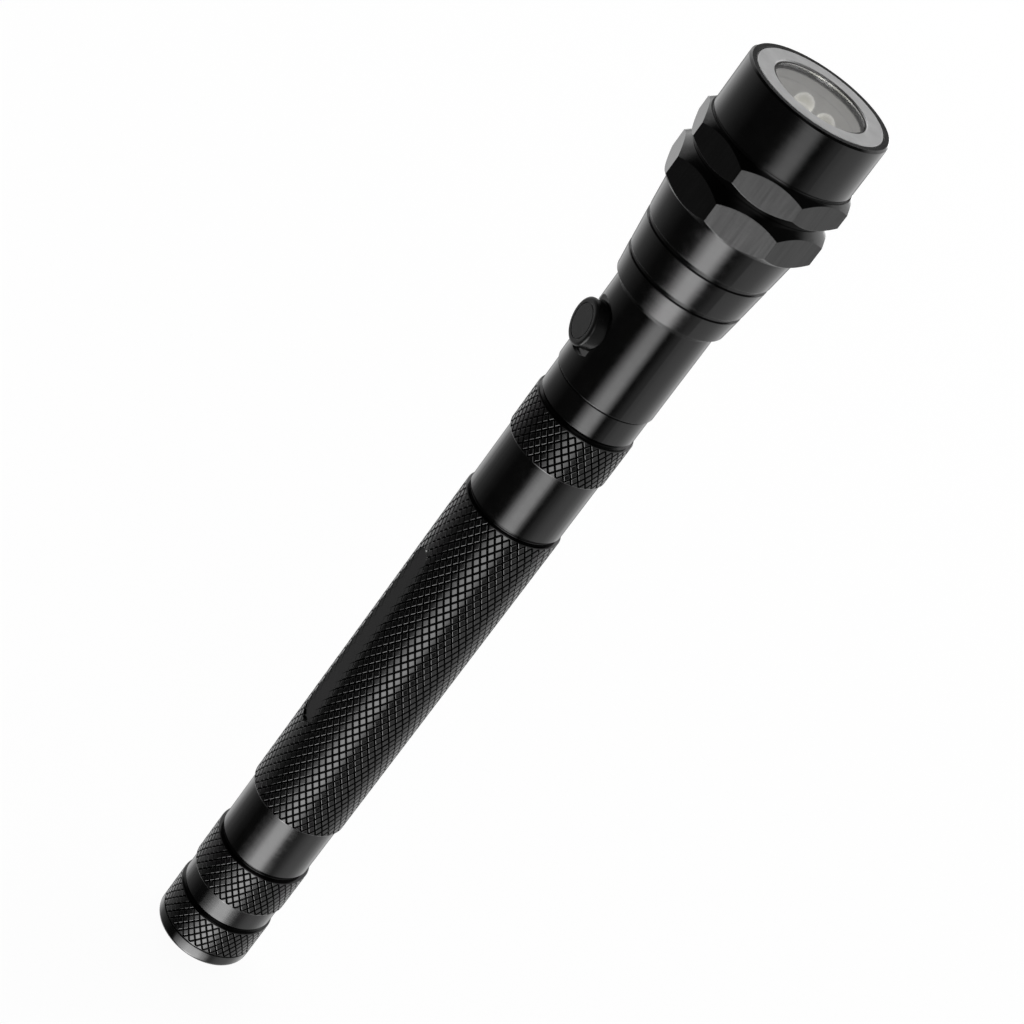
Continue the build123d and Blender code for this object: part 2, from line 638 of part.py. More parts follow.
BOARD_TOP = BOARD_BOTTOM + BOARD_THICKNESS
HOLDER_BOTTOM = BOARD_TOP + FACE_GAP
HOLDER_FLOOR = 163.6
HOLDER_MOUTH = 6.95  # radius of the reflector well at its mouth, which narrows in steps
STEP_COUNT = 3
STEP_DEPTH = 0.18
STEP_HEIGHT = 1.2
FOOT_BORE = 6.7
FLANGE_POCKET = 1.1  # height left under the holder for the flanges of the lamps
COLLAR_GAP = 2 * FACE_GAP
with BuildPart() as led_holder:
    well = [(HOLDER_MOUTH, HOLDER_TOP)]
    for step in range(1, STEP_COUNT + 1):
        height = HOLDER_TOP - STEP_HEIGHT * step
        well += [
            (HOLDER_MOUTH - STEP_DEPTH * (step - 1), height),
            (HOLDER_MOUTH - STEP_DEPTH * step, height),
        ]
    turned(
        [
            (FOOT_BORE, HOLDER_BOTTOM),
            (HOLDER_RADIUS, HOLDER_BOTTOM),
            (HOLDER_RADIUS, WEB_BOTTOM - COLLAR_GAP - FLANGE),
            (NOSE_BORE - RUN, WEB_BOTTOM - COLLAR_GAP - FLANGE),
            (NOSE_BORE - RUN, WEB_BOTTOM - COLLAR_GAP),
            (HOLDER_RADIUS, WEB_BOTTOM - COLLAR_GAP),
            (HOLDER_RADIUS, HOLDER_TOP),
            *well,
            (HOLDER_MOUTH - STEP_DEPTH * STEP_COUNT, HOLDER_FLOOR),
            (0, HOLDER_FLOOR),
            (0, HOLDER_BOTTOM + FLANGE_POCKET),
            (FOOT_BORE, HOLDER_BOTTOM + FLANGE_POCKET),
        ]
    )
    with BuildSketch(Plane.XY.offset(HOLDER_BOTTOM)):
        with PolarLocations(LED_CIRCLE, LED_COUNT, start_angle=LED_START):
            Circle(LED_RADIUS + RUN)
    extrude(amount=HOLDER_FLOOR - HOLDER_BOTTOM, mode=Mode.SUBTRACT)
finish_part(led_holder, "led_holder")

LED_FLANGE_HEIGHT = 1.0
LED_FLANGE_RADIUS = 1.9
LED_BODY_HEIGHT = 6.4
with BuildPart() as leds:
    with BuildSketch(Plane.XY.offset(HOLDER_BOTTOM)):
        with PolarLocations(LED_CIRCLE, LED_COUNT, start_angle=LED_START):
            Circle(LED_FLANGE_RADIUS)
    extrude(amount=LED_FLANGE_HEIGHT)
    with BuildSketch(Plane.XY.offset(HOLDER_BOTTOM)):
        with PolarLocations(LED_CIRCLE, LED_COUNT, start_angle=LED_START):
            Circle(LED_RADIUS)
    extrude(amount=LED_BODY_HEIGHT)
    with Locations((0, 0, HOLDER_BOTTOM + LED_BODY_HEIGHT)):
        with PolarLocations(LED_CIRCLE, LED_COUNT, start_angle=LED_START):
            Sphere(LED_RADIUS)
finish_part(leds, "leds")

with BuildPart() as led_board:
    sleeve(0, MAGNET_RADII[0] - RUN, BOARD_BOTTOM, BOARD_TOP)
finish_part(led_board, "led_board")

CONTACT_WIRE = 0.3
CONTACT_RADIUS = 2.6
CONTACT_TURNS = 3
CELL_TOP = CELL_BOTTOM + CELL_PITCH * (CELL_COUNT - 1) + CELL_HEIGHT
with BuildPart() as contact_spring:
    spring_bottom = CELL_TOP + CONTACT_WIRE + FACE_GAP
    spring_top = BOARD_BOTTOM - CONTACT_WIRE - FACE_GAP
    with BuildLine():
        turns = Helix(
            (spring_top - spring_bottom) / CONTACT_TURNS,
            spring_top - spring_bottom,
            CONTACT_RADIUS,
            center=(0, 0, spring_bottom),
        )
    with BuildSketch(Plane(origin=turns @ 0, z_dir=turns % 0)):
        Circle(CONTACT_WIRE)
    sweep(path=turns, is_frenet=True)
finish_part(contact_spring, "contact_spring")
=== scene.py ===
"""Looks of the magnetic pickup tool: knurled handle, telescoping tubes, wound neck and lamp head."""
import json
import math

import bpy
import numpy as np
from mathutils import Matrix, Vector

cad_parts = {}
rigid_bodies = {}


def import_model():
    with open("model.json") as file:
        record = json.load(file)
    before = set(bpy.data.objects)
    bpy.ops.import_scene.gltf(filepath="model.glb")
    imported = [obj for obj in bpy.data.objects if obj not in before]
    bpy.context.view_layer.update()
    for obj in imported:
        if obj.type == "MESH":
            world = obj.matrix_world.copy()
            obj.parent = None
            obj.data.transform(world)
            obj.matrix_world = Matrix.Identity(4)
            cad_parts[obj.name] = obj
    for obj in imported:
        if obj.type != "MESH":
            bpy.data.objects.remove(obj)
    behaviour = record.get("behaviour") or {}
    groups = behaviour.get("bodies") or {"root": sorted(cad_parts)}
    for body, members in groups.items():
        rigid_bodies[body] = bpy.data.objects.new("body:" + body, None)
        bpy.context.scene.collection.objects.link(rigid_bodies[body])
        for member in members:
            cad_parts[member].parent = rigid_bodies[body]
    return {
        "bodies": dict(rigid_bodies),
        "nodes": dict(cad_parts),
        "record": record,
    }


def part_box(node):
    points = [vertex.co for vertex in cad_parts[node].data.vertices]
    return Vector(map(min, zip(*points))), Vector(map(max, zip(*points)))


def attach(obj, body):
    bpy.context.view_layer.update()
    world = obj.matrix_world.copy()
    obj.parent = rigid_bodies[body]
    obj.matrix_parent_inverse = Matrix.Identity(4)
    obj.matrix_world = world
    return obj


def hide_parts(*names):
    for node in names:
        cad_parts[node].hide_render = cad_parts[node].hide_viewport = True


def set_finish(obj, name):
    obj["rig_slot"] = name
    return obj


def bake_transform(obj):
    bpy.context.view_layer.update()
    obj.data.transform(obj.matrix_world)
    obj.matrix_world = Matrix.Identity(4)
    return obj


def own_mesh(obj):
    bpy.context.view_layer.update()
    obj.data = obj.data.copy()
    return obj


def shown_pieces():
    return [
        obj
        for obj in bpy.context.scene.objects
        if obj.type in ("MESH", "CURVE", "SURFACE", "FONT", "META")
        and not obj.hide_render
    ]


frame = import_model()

MM = 0.001
TURN = 2 * math.pi
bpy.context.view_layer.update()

# ------------------------------------------------------------------ sizes of the visible pieces, in mm
KNURL_RADIUS = 8.05  # over the crests of the diamonds
KNURL_DEPTH = 0.3
KNURL_COLUMNS = 80  # half diamonds round the handle
GROOVE_HALF = 0.27  # share of a half diamond that the groove's flank takes
CHAMFER_HALF = 0.36  # the same out to the inner edge of the crest's chamfer
CREST_CHAMFER = 0.02
KNURL_SHARP = 14  # angle in degrees above which an edge stays sharp
KNURL_END = 0.2  # height of the plain lip at each end of a knurled band
# the lip's outline: depth below the crests, and distance from the band's end
KNURL_LIP = ((KNURL_DEPTH + 0.02, 0), (0.11, 0.03), (0.04, 0.1), (0.01, 0.18))

SMOOTH_RADIUS = 7.75  # the smooth bands at both ends of the handle
WAIST_RADIUS = 7.65  # the smooth band between the tail's knurl and the grip
SEAM_RADIUS = 7.3  # bottom of the grooves beside the knurled bands
SOCKET_RADIUS = 6.95  # where the tail cap screws in
SOCKET_TOP = 17.0
BORE_RADIUS = 6.6
BORE_TOP = 82.0
THROAT_RADIUS = 6.15  # the narrower bore that guides the widest tube
THROAT_TOP = 108.0
COLLAR_SEAT = 7.0  # radius of the mouth collar's seat
HANDLE_BOTTOM = 8.7
HANDLE_TOP = 114.5
TAIL_BAND = (12.8, 20.65)  # heights of the knurled bands
GRIP_BAND = (31.8, 94.9)
MOUTH_BAND = (106.7, 114.2)

LABEL_PLACE = -7.7  # place along Y of the flat on the handle
LABEL_LOW = 47.0
LABEL_HIGH = 83.0
LABEL_STEPS = 48  # straight pieces in each rounded end

CAP_BAND = (2.52, 8.36)
CAP_ROUND = 0.9  # radius of the tail cap's rounded rim
CAP_SEAT_RADIUS = 5.52  # the magnet cup's seat
CAP_SEAT_TOP = 4.05
CAP_NECK_RADIUS = 5.7  # the O-ring's groove
CAP_NOSE_TOP = 15.6
CAP_HOLLOW_RADIUS = 4.4
THREAD_RADIUS = 6.9
THREAD_BOTTOM = 10.55
THREAD_DEPTH = 0.45
THREAD_PITCH = 1.0

NECK_RADIUS = 2.6
WIRE_PITCH = 1.27
WIRE_SEAT = 0.35  # height of the valleys between two turns, as a share of the wire's radius
NECK_PITCH = 13.825  # from hinge to hinge
NECK_HINGES = [68.1125 + k * NECK_PITCH for k in range(4)]
NECK_START = 59.7
NECK_END = 123.4

SPRING_WIRE = 0.15  # radius of the wire of the button's spring
SPRING_TURNS = 2

# ------------------------------------------------------------------ mesh helpers


def piece(name, verts, faces, body, slot, nodes):
    """A new mesh piece in metres, standing for CAD nodes, which rides on a CAD body when one is given."""
    mesh = bpy.data.meshes.new(name)
    mesh.from_pydata([tuple(float(c) * MM for c in v) for v in verts], [], faces)
    mesh.validate()
    mesh.update()
    made = bpy.data.objects.new(name, mesh)
    bpy.context.scene.collection.objects.link(made)
    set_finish(made, slot)
    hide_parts(*nodes)
    if body:
        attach(made, body)
    return made


def shade(made, angle):
    """Smooth shading with sharp edges above an angle in degrees."""
    mesh = made.data
    mesh.polygons.foreach_set("use_smooth", [True] * len(mesh.polygons))
    mesh.set_sharp_from_angle(angle=math.radians(angle))


class Turned:
    """A closed surface turned about the tool's axis, whose rings may hold knurled bands."""

    def __init__(self):
        self.verts = []
        self.faces = []
        self.rings = []
        node = np.arange(KNURL_COLUMNS)
        even = node % 2 == 0
        near = np.where(even, GROOVE_HALF, 1 - CHAMFER_HALF)
        far = np.where(even, CHAMFER_HALF, 1 - GROOVE_HALF)
        self.angles = np.stack([node, node + near, node + far], 1).ravel() * TURN / KNURL_COLUMNS
        # how far each of those places is sunk where a band ends: groove, flank edge, chamfer edge or crest
        first = np.where(even, KNURL_DEPTH, 0)
        second = np.where(even, CREST_CHAMFER, 0)
        third = np.where(even, 0, CREST_CHAMFER)
        self.sunk = np.stack([first, second, third], 1).ravel()

    def add(self, angle, radius, height):
        self.verts.append((radius * math.cos(angle), radius * math.sin(angle), height))
        return len(self.verts) - 1

    def ring(self, radius, height):
        """A ring at one height, joined to the ring before it. A radius of 0 makes a pole."""
        if np.ndim(radius) == 0 and radius < 1e-6:
            ids = [self.add(0, 0, height)]
        else:
            radii = np.broadcast_to(radius, self.angles.shape)
            ids = [self.add(a, r, height) for a, r in zip(self.angles, radii)]
        if self.rings:
            self.join(self.rings[-1], ids)
        self.rings.append(ids)
        return ids

    def join(self, low, high):
        count = max(len(low), len(high))
        for k in range(count):
            n = (k + 1) % count
            if len(low) == 1 and len(high) == 1:
                return
            if len(low) == 1:
                self.faces.append((low[0], high[n], high[k]))
            elif len(high) == 1:
                self.faces.append((low[k], low[n], high[0]))
            else:
                self.faces.append((low[k], low[n], high[n], high[k]))

    def knurl(self, radius, bottom, top, rows):
        """A band of diamonds between two lips: V grooves crossing, with flat chamfered crests."""
        for depth, inset in KNURL_LIP:
            self.ring(radius - depth, bottom + inset)
        low, high = bottom + KNURL_END, top - KNURL_END
        step = (high - low) / rows
        below = self.ring(radius - self.sunk, low)
        for row in range(rows):
            base = low + row * step
            sides = []
            for node in range(KNURL_COLUMNS):
                valley_low = (node + row) % 2 == 0
                share = (GROOVE_HALF, CHAMFER_HALF) if valley_low else (1 - CHAMFER_HALF, 1 - GROOVE_HALF)
                drop = (CREST_CHAMFER, 0) if valley_low else (0, CREST_CHAMFER)
                angle = node * TURN / KNURL_COLUMNS
                sides.append([self.add(angle, radius - d, base + step * s) for s, d in zip(share, drop)])
            above = self.boundary(radius, base + step, row + 1)
            for node in range(KNURL_COLUMNS):
                self.half_diamond(below, above, sides, node, (node + row) % 2 == 0)
            below = above
        self.rings.append(below)
        for depth, inset in reversed(KNURL_LIP):
            self.ring(radius - depth, top - inset)

    def boundary(self, radius, height, row):
        """The places along one row line: node, flank edge and chamfer edge for every column."""
        ids = []
        for node in range(KNURL_COLUMNS):
            valley = (node + row) % 2 == 0
            shares = (0, GROOVE_HALF, CHAMFER_HALF) if valley else (0, 1 - CHAMFER_HALF, 1 - GROOVE_HALF)
            drops = (KNURL_DEPTH, CREST_CHAMFER, 0) if valley else (0, 0, CREST_CHAMFER)
            for s, d in zip(shares, drops):
                ids.append(self.add((node + s) * TURN / KNURL_COLUMNS, radius - d, height))
        return ids

    def half_diamond(self, below, above, sides, node, rising):
        """The faces of one half diamond, whose groove rises to the right or to the left."""
        n = (node + 1) % KNURL_COLUMNS
        b0, b1, b2, b3 = below[3 * node], below[3 * node + 1], below[3 * node + 2], below[3 * n]
        t0, t1, t2, t3 = above[3 * node], above[3 * node + 1], above[3 * node + 2], above[3 * n]
        (l1, l2), (r1, r2) = sides[node], sides[n]
        if rising:
            self.faces += [
                (b0, b1, r2, t3),
                (b0, t3, t2, l1),
                (b1, b2, r1, r2),
                (l1, t2, t1, l2),
                (b2, b3, r1),
                (l2, t1, t0),
            ]
        else:
            self.faces += [
                (b2, b3, t0, l2),
                (b3, r1, t1, t0),
                (b1, b2, l2, l1),
                (r1, r2, t2, t1),
                (b0, b1, l1),
                (r2, t3, t2),
            ]

    def outline(self, *points):
        """Rings through (radius, height) points."""
        for radius, height in points:
            self.ring(radius, height)

    def close(self):
        self.join(self.rings[-1], self.rings[0])


def thread(radius, bottom, top):
    """Points up a male thread drawn as V rings."""
    points = []
    for k in range(int((top - bottom) / THREAD_PITCH)):
        root = bottom + k * THREAD_PITCH
        points += [(radius, root), (radius - THREAD_DEPTH, root + THREAD_PITCH / 2)]
    return points + [(radius, top)]


# ------------------------------------------------------------------ knurled handle
def build_handle():
    """The handle tube from its tail end up the outside and back down the bore."""
    shape = Turned()
    shape.outline((SOCKET_RADIUS, HANDLE_BOTTOM + 0.05), (7.0, HANDLE_BOTTOM), (SEAM_RADIUS, HANDLE_BOTTOM))
    shape.outline((7.42, 8.76), (7.7, 9.04), (SMOOTH_RADIUS, 9.15), (SMOOTH_RADIUS, TAIL_BAND[0] - 0.08))
    shape.knurl(KNURL_RADIUS, *TAIL_BAND, rows=8)
    # groove, then the smooth band up to the grip
    shape.outline((7.32, 20.72), (SEAM_RADIUS, 20.8), (SEAM_RADIUS, 21.2), (7.34, 21.27), (7.58, 21.43))
    shape.outline((WAIST_RADIUS, 21.52), (WAIST_RADIUS, GRIP_BAND[0] - 0.08))
    shape.knurl(KNURL_RADIUS, *GRIP_BAND, rows=62)
    # groove, then the smooth band up to the mouth's knurl
    shape.outline((7.32, 94.96), (SEAM_RADIUS, 95.03), (SEAM_RADIUS, 95.37), (7.35, 95.44), (7.68, 95.58))
    shape.outline((SMOOTH_RADIUS, 95.68), (SMOOTH_RADIUS, MOUTH_BAND[0] - 0.08))
    shape.knurl(KNURL_RADIUS, *MOUTH_BAND, rows=8)
    shape.outline((7.4, HANDLE_TOP - 0.04), (SEAM_RADIUS, HANDLE_TOP), (COLLAR_SEAT + 0.05, HANDLE_TOP))
    # down the inside: collar seat, throat, bore and socket
    shape.outline((COLLAR_SEAT, HANDLE_TOP - 0.05), (COLLAR_SEAT, THROAT_TOP))
    shape.outline((THROAT_RADIUS + 0.05, THROAT_TOP), (THROAT_RADIUS, THROAT_TOP - 0.05))
    shape.outline((THROAT_RADIUS, BORE_TOP), (BORE_RADIUS, BORE_TOP))
    shape.outline((BORE_RADIUS, SOCKET_TOP), (SOCKET_RADIUS, SOCKET_TOP))
    shape.close()
    handle = piece("handle_knurled", shape.verts, shape.faces, None, "black_anodised", ["handle_tube"])
    cut_label_flat(handle)
    shade(handle, KNURL_SHARP)
    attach(handle, "handle")


def cut_label_flat(handle):
    """Mill the blank label flat into the button's side of the handle with a round-nosed slot."""
    half = math.sqrt(KNURL_RADIUS**2 - LABEL_PLACE**2)
    outline = []
    for start, centre in ((0, LABEL_HIGH - half), (math.pi, LABEL_LOW + half)):
        for k in range(LABEL_STEPS + 1):
            a = start + math.pi * k / LABEL_STEPS
            outline.append((half * math.cos(a), centre + half * math.sin(a)))
    count = len(outline)
    clear = LABEL_PLACE - 2  # well outside the handle
    verts = [(x, LABEL_PLACE, z) for x, z in outline] + [(x, clear, z) for x, z in outline]
    faces = [tuple(reversed(range(count))), tuple(range(count, 2 * count))]
    faces += [(k, (k + 1) % count, count + (k + 1) % count, count + k) for k in range(count)]
    mesh = bpy.data.meshes.new("slot_cutter")
    mesh.from_pydata([tuple(c * MM for c in v) for v in verts], [], faces)
    mesh.update()
    cutter = bpy.data.objects.new("slot_cutter", mesh)
    bpy.context.scene.collection.objects.link(cutter)
    cut = handle.modifiers.new("slot", "BOOLEAN")
    cut.operation = "DIFFERENCE"
    cut.solver = "EXACT"
    cut.object = cutter
    bpy.context.view_layer.update()
    graph = bpy.context.evaluated_depsgraph_get()
    made = bpy.data.meshes.new_from_object(handle.evaluated_get(graph))
    handle.modifiers.clear()
    old, handle.data = handle.data, made
    bpy.data.meshes.remove(old)
    bpy.data.objects.remove(cutter)


def build_tail_cap():
    """The tail cap with its knurled grip, magnet seat and threaded nose."""
    shape = Turned()
    shape.outline((0, CAP_SEAT_TOP), (CAP_SEAT_RADIUS, CAP_SEAT_TOP))
    shape.outline((CAP_SEAT_RADIUS, 0.1), (CAP_SEAT_RADIUS + 0.1, 0.0), (7.12, 0.0))
    for k in range(1, 10):
        a = math.radians(10 * k)
        shape.ring(KNURL_RADIUS - CAP_ROUND + CAP_ROUND * math.sin(a), CAP_ROUND - CAP_ROUND * math.cos(a))
    shape.outline((KNURL_RADIUS, 2.36), (8.02, 2.44), (7.74, 2.5))
    shape.knurl(KNURL_RADIUS, *CAP_BAND, rows=6)
    # shoulder, O-ring groove and thread, then down the hollow nose
    shape.outline((7.4, 8.56), (7.32, 8.6), (THREAD_RADIUS, 8.6), (THREAD_RADIUS, 9.25))
    shape.outline((CAP_NECK_RADIUS, 9.25), (CAP_NECK_RADIUS, THREAD_BOTTOM))
    shape.outline(*thread(THREAD_RADIUS, THREAD_BOTTOM, CAP_NOSE_TOP))
    shape.outline((CAP_HOLLOW_RADIUS, CAP_NOSE_TOP), (CAP_HOLLOW_RADIUS, 7.2), (0, 7.2))
    cap = piece("tail_cap_knurled", shape.verts, shape.faces, None, "black_anodised", ["tail_cap"])
    shade(cap, KNURL_SHARP)
    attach(cap, "tail_cap")


# ------------------------------------------------------------------ wound neck
def build_neck():
    """The neck as one wound wire, split where the CAD chain turns."""
    nodes = [["neck_coil_base"], ["neck_link_01"], ["neck_link_02"], ["neck_link_03", "neck_coil_end"]]
    around, per_turn = 48, 12
    wire = WIRE_PITCH / 2
    for k, hinge in enumerate(NECK_HINGES):
        start, end = hinge - NECK_PITCH / 2, hinge + NECK_PITCH / 2
        low = NECK_START if k == 0 else start
        high = NECK_END if k == len(NECK_HINGES) - 1 else end
        count = int(round((high - low) / WIRE_PITCH * per_turn))
        verts, faces = [(0, 0, low)], []
        for row in range(count + 1):
            height = low + (high - low) * row / count
            for column in range(around):
                angle = TURN * column / around
                across = ((height / WIRE_PITCH - column / around) % 1 - 0.5) * WIRE_PITCH
                bulge = math.sqrt(max(wire * wire - across * across, 0))
                radius = NECK_RADIUS - wire + max(bulge, wire * WIRE_SEAT)
                verts.append((radius * math.cos(angle), radius * math.sin(angle), height))
        for row in range(count):
            for column in range(around):
                n = (column + 1) % around
                a, b = 1 + row * around, 1 + (row + 1) * around
                faces.append((a + column, a + n, b + n, b + column))
        verts.append((0, 0, high))
        last = 1 + count * around
        for column in range(around):
            n = (column + 1) % around
            faces.append((0, 1 + n, 1 + column))
            faces.append((len(verts) - 1, last + column, last + n))
        part = piece(f"neck_wound_{k + 1}", verts, faces, None, "neck_chrome", nodes[k])
        shade(part, 60)
        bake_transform(part)


# ------------------------------------------------------------------ switch spring
def build_switch_spring():
    """The button's return spring, which is pressed flat between the button and the switch."""
    around, per_turn = 10, 48
    low, high = (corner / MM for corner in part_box("switch_spring"))
    middle = (low + high) / 2
    radius = (high.x - low.x) / 2 - SPRING_WIRE
    first, last = high.y - SPRING_WIRE, low.y + SPRING_WIRE
    count = SPRING_TURNS * per_turn
    verts = []
    for row in range(count + 1):
        turn = TURN * row / per_turn
        place = first + (last - first) * row / count
        for column in range(around):
            side = TURN * column / around
            reach = radius + SPRING_WIRE * math.cos(side)
            x, z = middle.x + reach * math.cos(turn), middle.z + reach * math.sin(turn)
            verts.append((x, place + SPRING_WIRE * math.sin(side), z))
    faces = [tuple(range(around)), tuple(reversed(range(count * around, (count + 1) * around)))]
    for row in range(count):
        for column in range(around):
            n = (column + 1) % around
            a, b = row * around, (row + 1) * around
            faces.append((a + column, b + column, b + n, a + n))
    spring = piece("switch_spring_wound", verts, faces, "head", "contact_nickel", ["switch_spring"])
    shade(spring, 60)
    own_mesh(spring)


# ------------------------------------------------------------------ materials
def grey(value):
    return (value, value, value)


BLACK = (grey(0.0012), grey(0.0022))  # darkest and lightest tone of the anodised aluminium
TINT_GRAIN = 420.0  # noise scales, in cells per metre
SHEEN_GRAIN = 900.0
LATHE_LINES = 9000.0
MILLED_LINES = (3200.0, 3200.0, 160.0)
MILLED_CHANGE = 0.09  # how far the milled lines brighten or darken a facet
LATHE_DEPTH = 0.004 * MM
EDGE_ROUND = 0.1 * MM
FACET_RADII = (11.28 * MM, 11.36 * MM)  # the octagons' facets lie outside these, the turned faces inside
LENS_RIM = (6.98 * MM, 7.04 * MM)
LENS_EDGE_TOP = 171.15 * MM  # the lens's top face lies above this


class Shader:
    """A node material built round one Principled shader."""

    def __init__(self, name):
        self.material = bpy.data.materials.new(name)
        self.material.use_nodes = True
        self.tree = self.material.node_tree
        self.main = self.tree.nodes["Principled BSDF"]
        self.place = self.node("ShaderNodeTexCoord").outputs["Object"]

    def node(self, kind, **values):
        made = self.tree.nodes.new(kind)
        for key, value in values.items():
            setattr(made, key, value)
        return made

    def link(self, source, target):
        self.tree.links.new(source, target)

    def set(self, **values):
        for key, value in values.items():
            self.main.inputs[key.replace("_", " ")].default_value = value

    def stretched(self, scale):
        mapping = self.node("ShaderNodeMapping")
        mapping.inputs["Scale"].default_value = scale
        self.link(self.place, mapping.inputs["Vector"])
        return mapping.outputs["Vector"]

    def noise(self, scale, detail=3.0, vector=None):
        made = self.node("ShaderNodeTexNoise")
        made.inputs["Scale"].default_value = scale
        made.inputs["Detail"].default_value = detail
        self.link(vector or self.place, made.inputs["Vector"])
        return made.outputs["Fac"]

    def ranged(self, value, low, high, start=0.3, end=0.7):
        made = self.node("ShaderNodeMapRange")
        for key, number in (("From Min", start), ("From Max", end), ("To Min", low), ("To Max", high)):
            made.inputs[key].default_value = number
        self.link(value, made.inputs["Value"])
        return made.outputs["Result"]

    def tint(self, value, dark, light):
        made = self.node("ShaderNodeMix", data_type="RGBA")
        made.inputs[6].default_value = (*dark, 1)
        made.inputs[7].default_value = (*light, 1)
        self.link(value, made.inputs["Factor"])
        self.link(made.outputs[2], self.main.inputs["Base Color"])

    def bump(self, value, distance, strength=1.0, bevel=0.0):
        made = self.node("ShaderNodeBump")
        made.inputs["Distance"].default_value = distance
        made.inputs["Strength"].default_value = strength
        self.link(value, made.inputs["Height"])
        if bevel:
            soft = self.node("ShaderNodeBevel", samples=4)
            soft.inputs["Radius"].default_value = bevel
            self.link(soft.outputs["Normal"], made.inputs["Normal"])
        self.link(made.outputs["Normal"], self.main.inputs["Normal"])


def turned_place(s, fineness):
    """Coordinates that change only along the axis and away from it, as lathe marks do, and their parts."""
    parts = s.node("ShaderNodeSeparateXYZ")
    s.link(s.place, parts.inputs[0])
    across = s.node("ShaderNodeCombineXYZ")
    s.link(parts.outputs["X"], across.inputs["X"])
    s.link(parts.outputs["Y"], across.inputs["Y"])
    radius = s.node("ShaderNodeVectorMath", operation="LENGTH")
    s.link(across.outputs[0], radius.inputs[0])
    both = s.node("ShaderNodeCombineXYZ")
    s.link(radius.outputs["Value"], both.inputs["X"])
    s.link(parts.outputs["Z"], both.inputs["Y"])
    wide = s.node("ShaderNodeVectorMath", operation="SCALE")
    s.link(both.outputs[0], wide.inputs[0])
    wide.inputs["Scale"].default_value = fineness
    return wide.outputs[0], radius.outputs["Value"], parts.outputs


def turned_metal(name, dark, light, rough, metallic, bevel=EDGE_ROUND, lines=1.0, specular=0.5):
    """Metal turned on a lathe: fine rings round the axis, cloudy sheen and softened edges."""
    s = Shader(name)
    s.set(Metallic=metallic, Specular_IOR_Level=specular)
    s.tint(s.ranged(s.noise(TINT_GRAIN), 0, 1), dark, light)
    s.link(s.ranged(s.noise(SHEEN_GRAIN, 4.0), *rough), s.main.inputs["Roughness"])
    place, _, _ = turned_place(s, LATHE_LINES)
    s.bump(s.noise(1.0, 2.0, place), LATHE_DEPTH, lines, bevel)
    return s.material


def black_metal(name):
    """The anodised finish: lathe marks on turned faces, milled lines on the facets of the octagons."""
    s = Shader(name)
    s.tint(s.ranged(s.noise(TINT_GRAIN), 0, 1), *BLACK)
    s.link(s.ranged(s.noise(SHEEN_GRAIN, 4.0), 0.11, 0.16), s.main.inputs["Roughness"])
    place, radius, _ = turned_place(s, LATHE_LINES)
    facet = s.ranged(radius, 0, 1, *FACET_RADII)
    milled = s.ranged(s.noise(1.0, 2.0, s.stretched(MILLED_LINES)), -MILLED_CHANGE, MILLED_CHANGE)
    strength = s.node("ShaderNodeMath", operation="MULTIPLY_ADD")
    s.link(milled, strength.inputs[0])
    s.link(facet, strength.inputs[1])
    strength.inputs[2].default_value = 0.5
    s.link(strength.outputs[0], s.main.inputs["Specular IOR Level"])
    s.bump(s.noise(1.0, 2.0, place), LATHE_DEPTH, 1.0, EDGE_ROUND)
    return s.material


def knurled_metal(name):
    """The handle's anodised finish, duller on the milled label flat."""
    s = Shader(name)
    s.tint(s.ranged(s.noise(TINT_GRAIN), 0, 1), *BLACK)
    place, _, parts = turned_place(s, LATHE_LINES)
    flat = s.node("ShaderNodeMath", operation="COMPARE")
    s.link(parts["Y"], flat.inputs[0])
    flat.inputs[1].default_value = LABEL_PLACE * MM
    flat.inputs[2].default_value = 0.003 * MM
    s.link(s.ranged(flat.outputs[0], 0.5, 0.1, 0, 1), s.main.inputs["Specular IOR Level"])
    s.link(s.ranged(s.noise(SHEEN_GRAIN, 4.0), 0.12, 0.18), s.main.inputs["Roughness"])
    s.bump(s.noise(1.0, 2.0, place), 0.003 * MM)
    return s.material


def moulded(name, dark, light, rough, **values):
    """Plastic or rubber with a fine grain."""
    s = Shader(name)
    s.set(**values)
    s.tint(s.ranged(s.noise(700.0), 0, 1), dark, light)
    s.link(s.ranged(s.noise(1400.0), *rough), s.main.inputs["Roughness"])
    s.bump(s.noise(3500.0, 2.0), 0.006 * MM)
    return s.material


def lens_plastic(name):
    """Clear plastic, faintly frosted, whose top face is blackened round its rim."""
    s = Shader(name)
    _, radius, parts = turned_place(s, 1.0)
    rim = s.node("ShaderNodeMath", operation="MULTIPLY")
    s.link(s.ranged(radius, 0, 1, *LENS_RIM), rim.inputs[0])
    s.link(s.ranged(parts["Z"], 0, 1, LENS_EDGE_TOP - 0.05 * MM, LENS_EDGE_TOP), rim.inputs[1])
    edge = rim.outputs[0]
    s.tint(edge, grey(0.95), grey(0.004))
    s.link(s.ranged(edge, 0.93, 0, 0, 1), s.main.inputs["Transmission Weight"])
    s.link(s.ranged(s.noise(1200.0), 0.05, 0.09), s.main.inputs["Roughness"])
    s.set(IOR=1.49)
    s.bump(s.noise(2500.0, 2.0), 0.002 * MM)
    return s.material


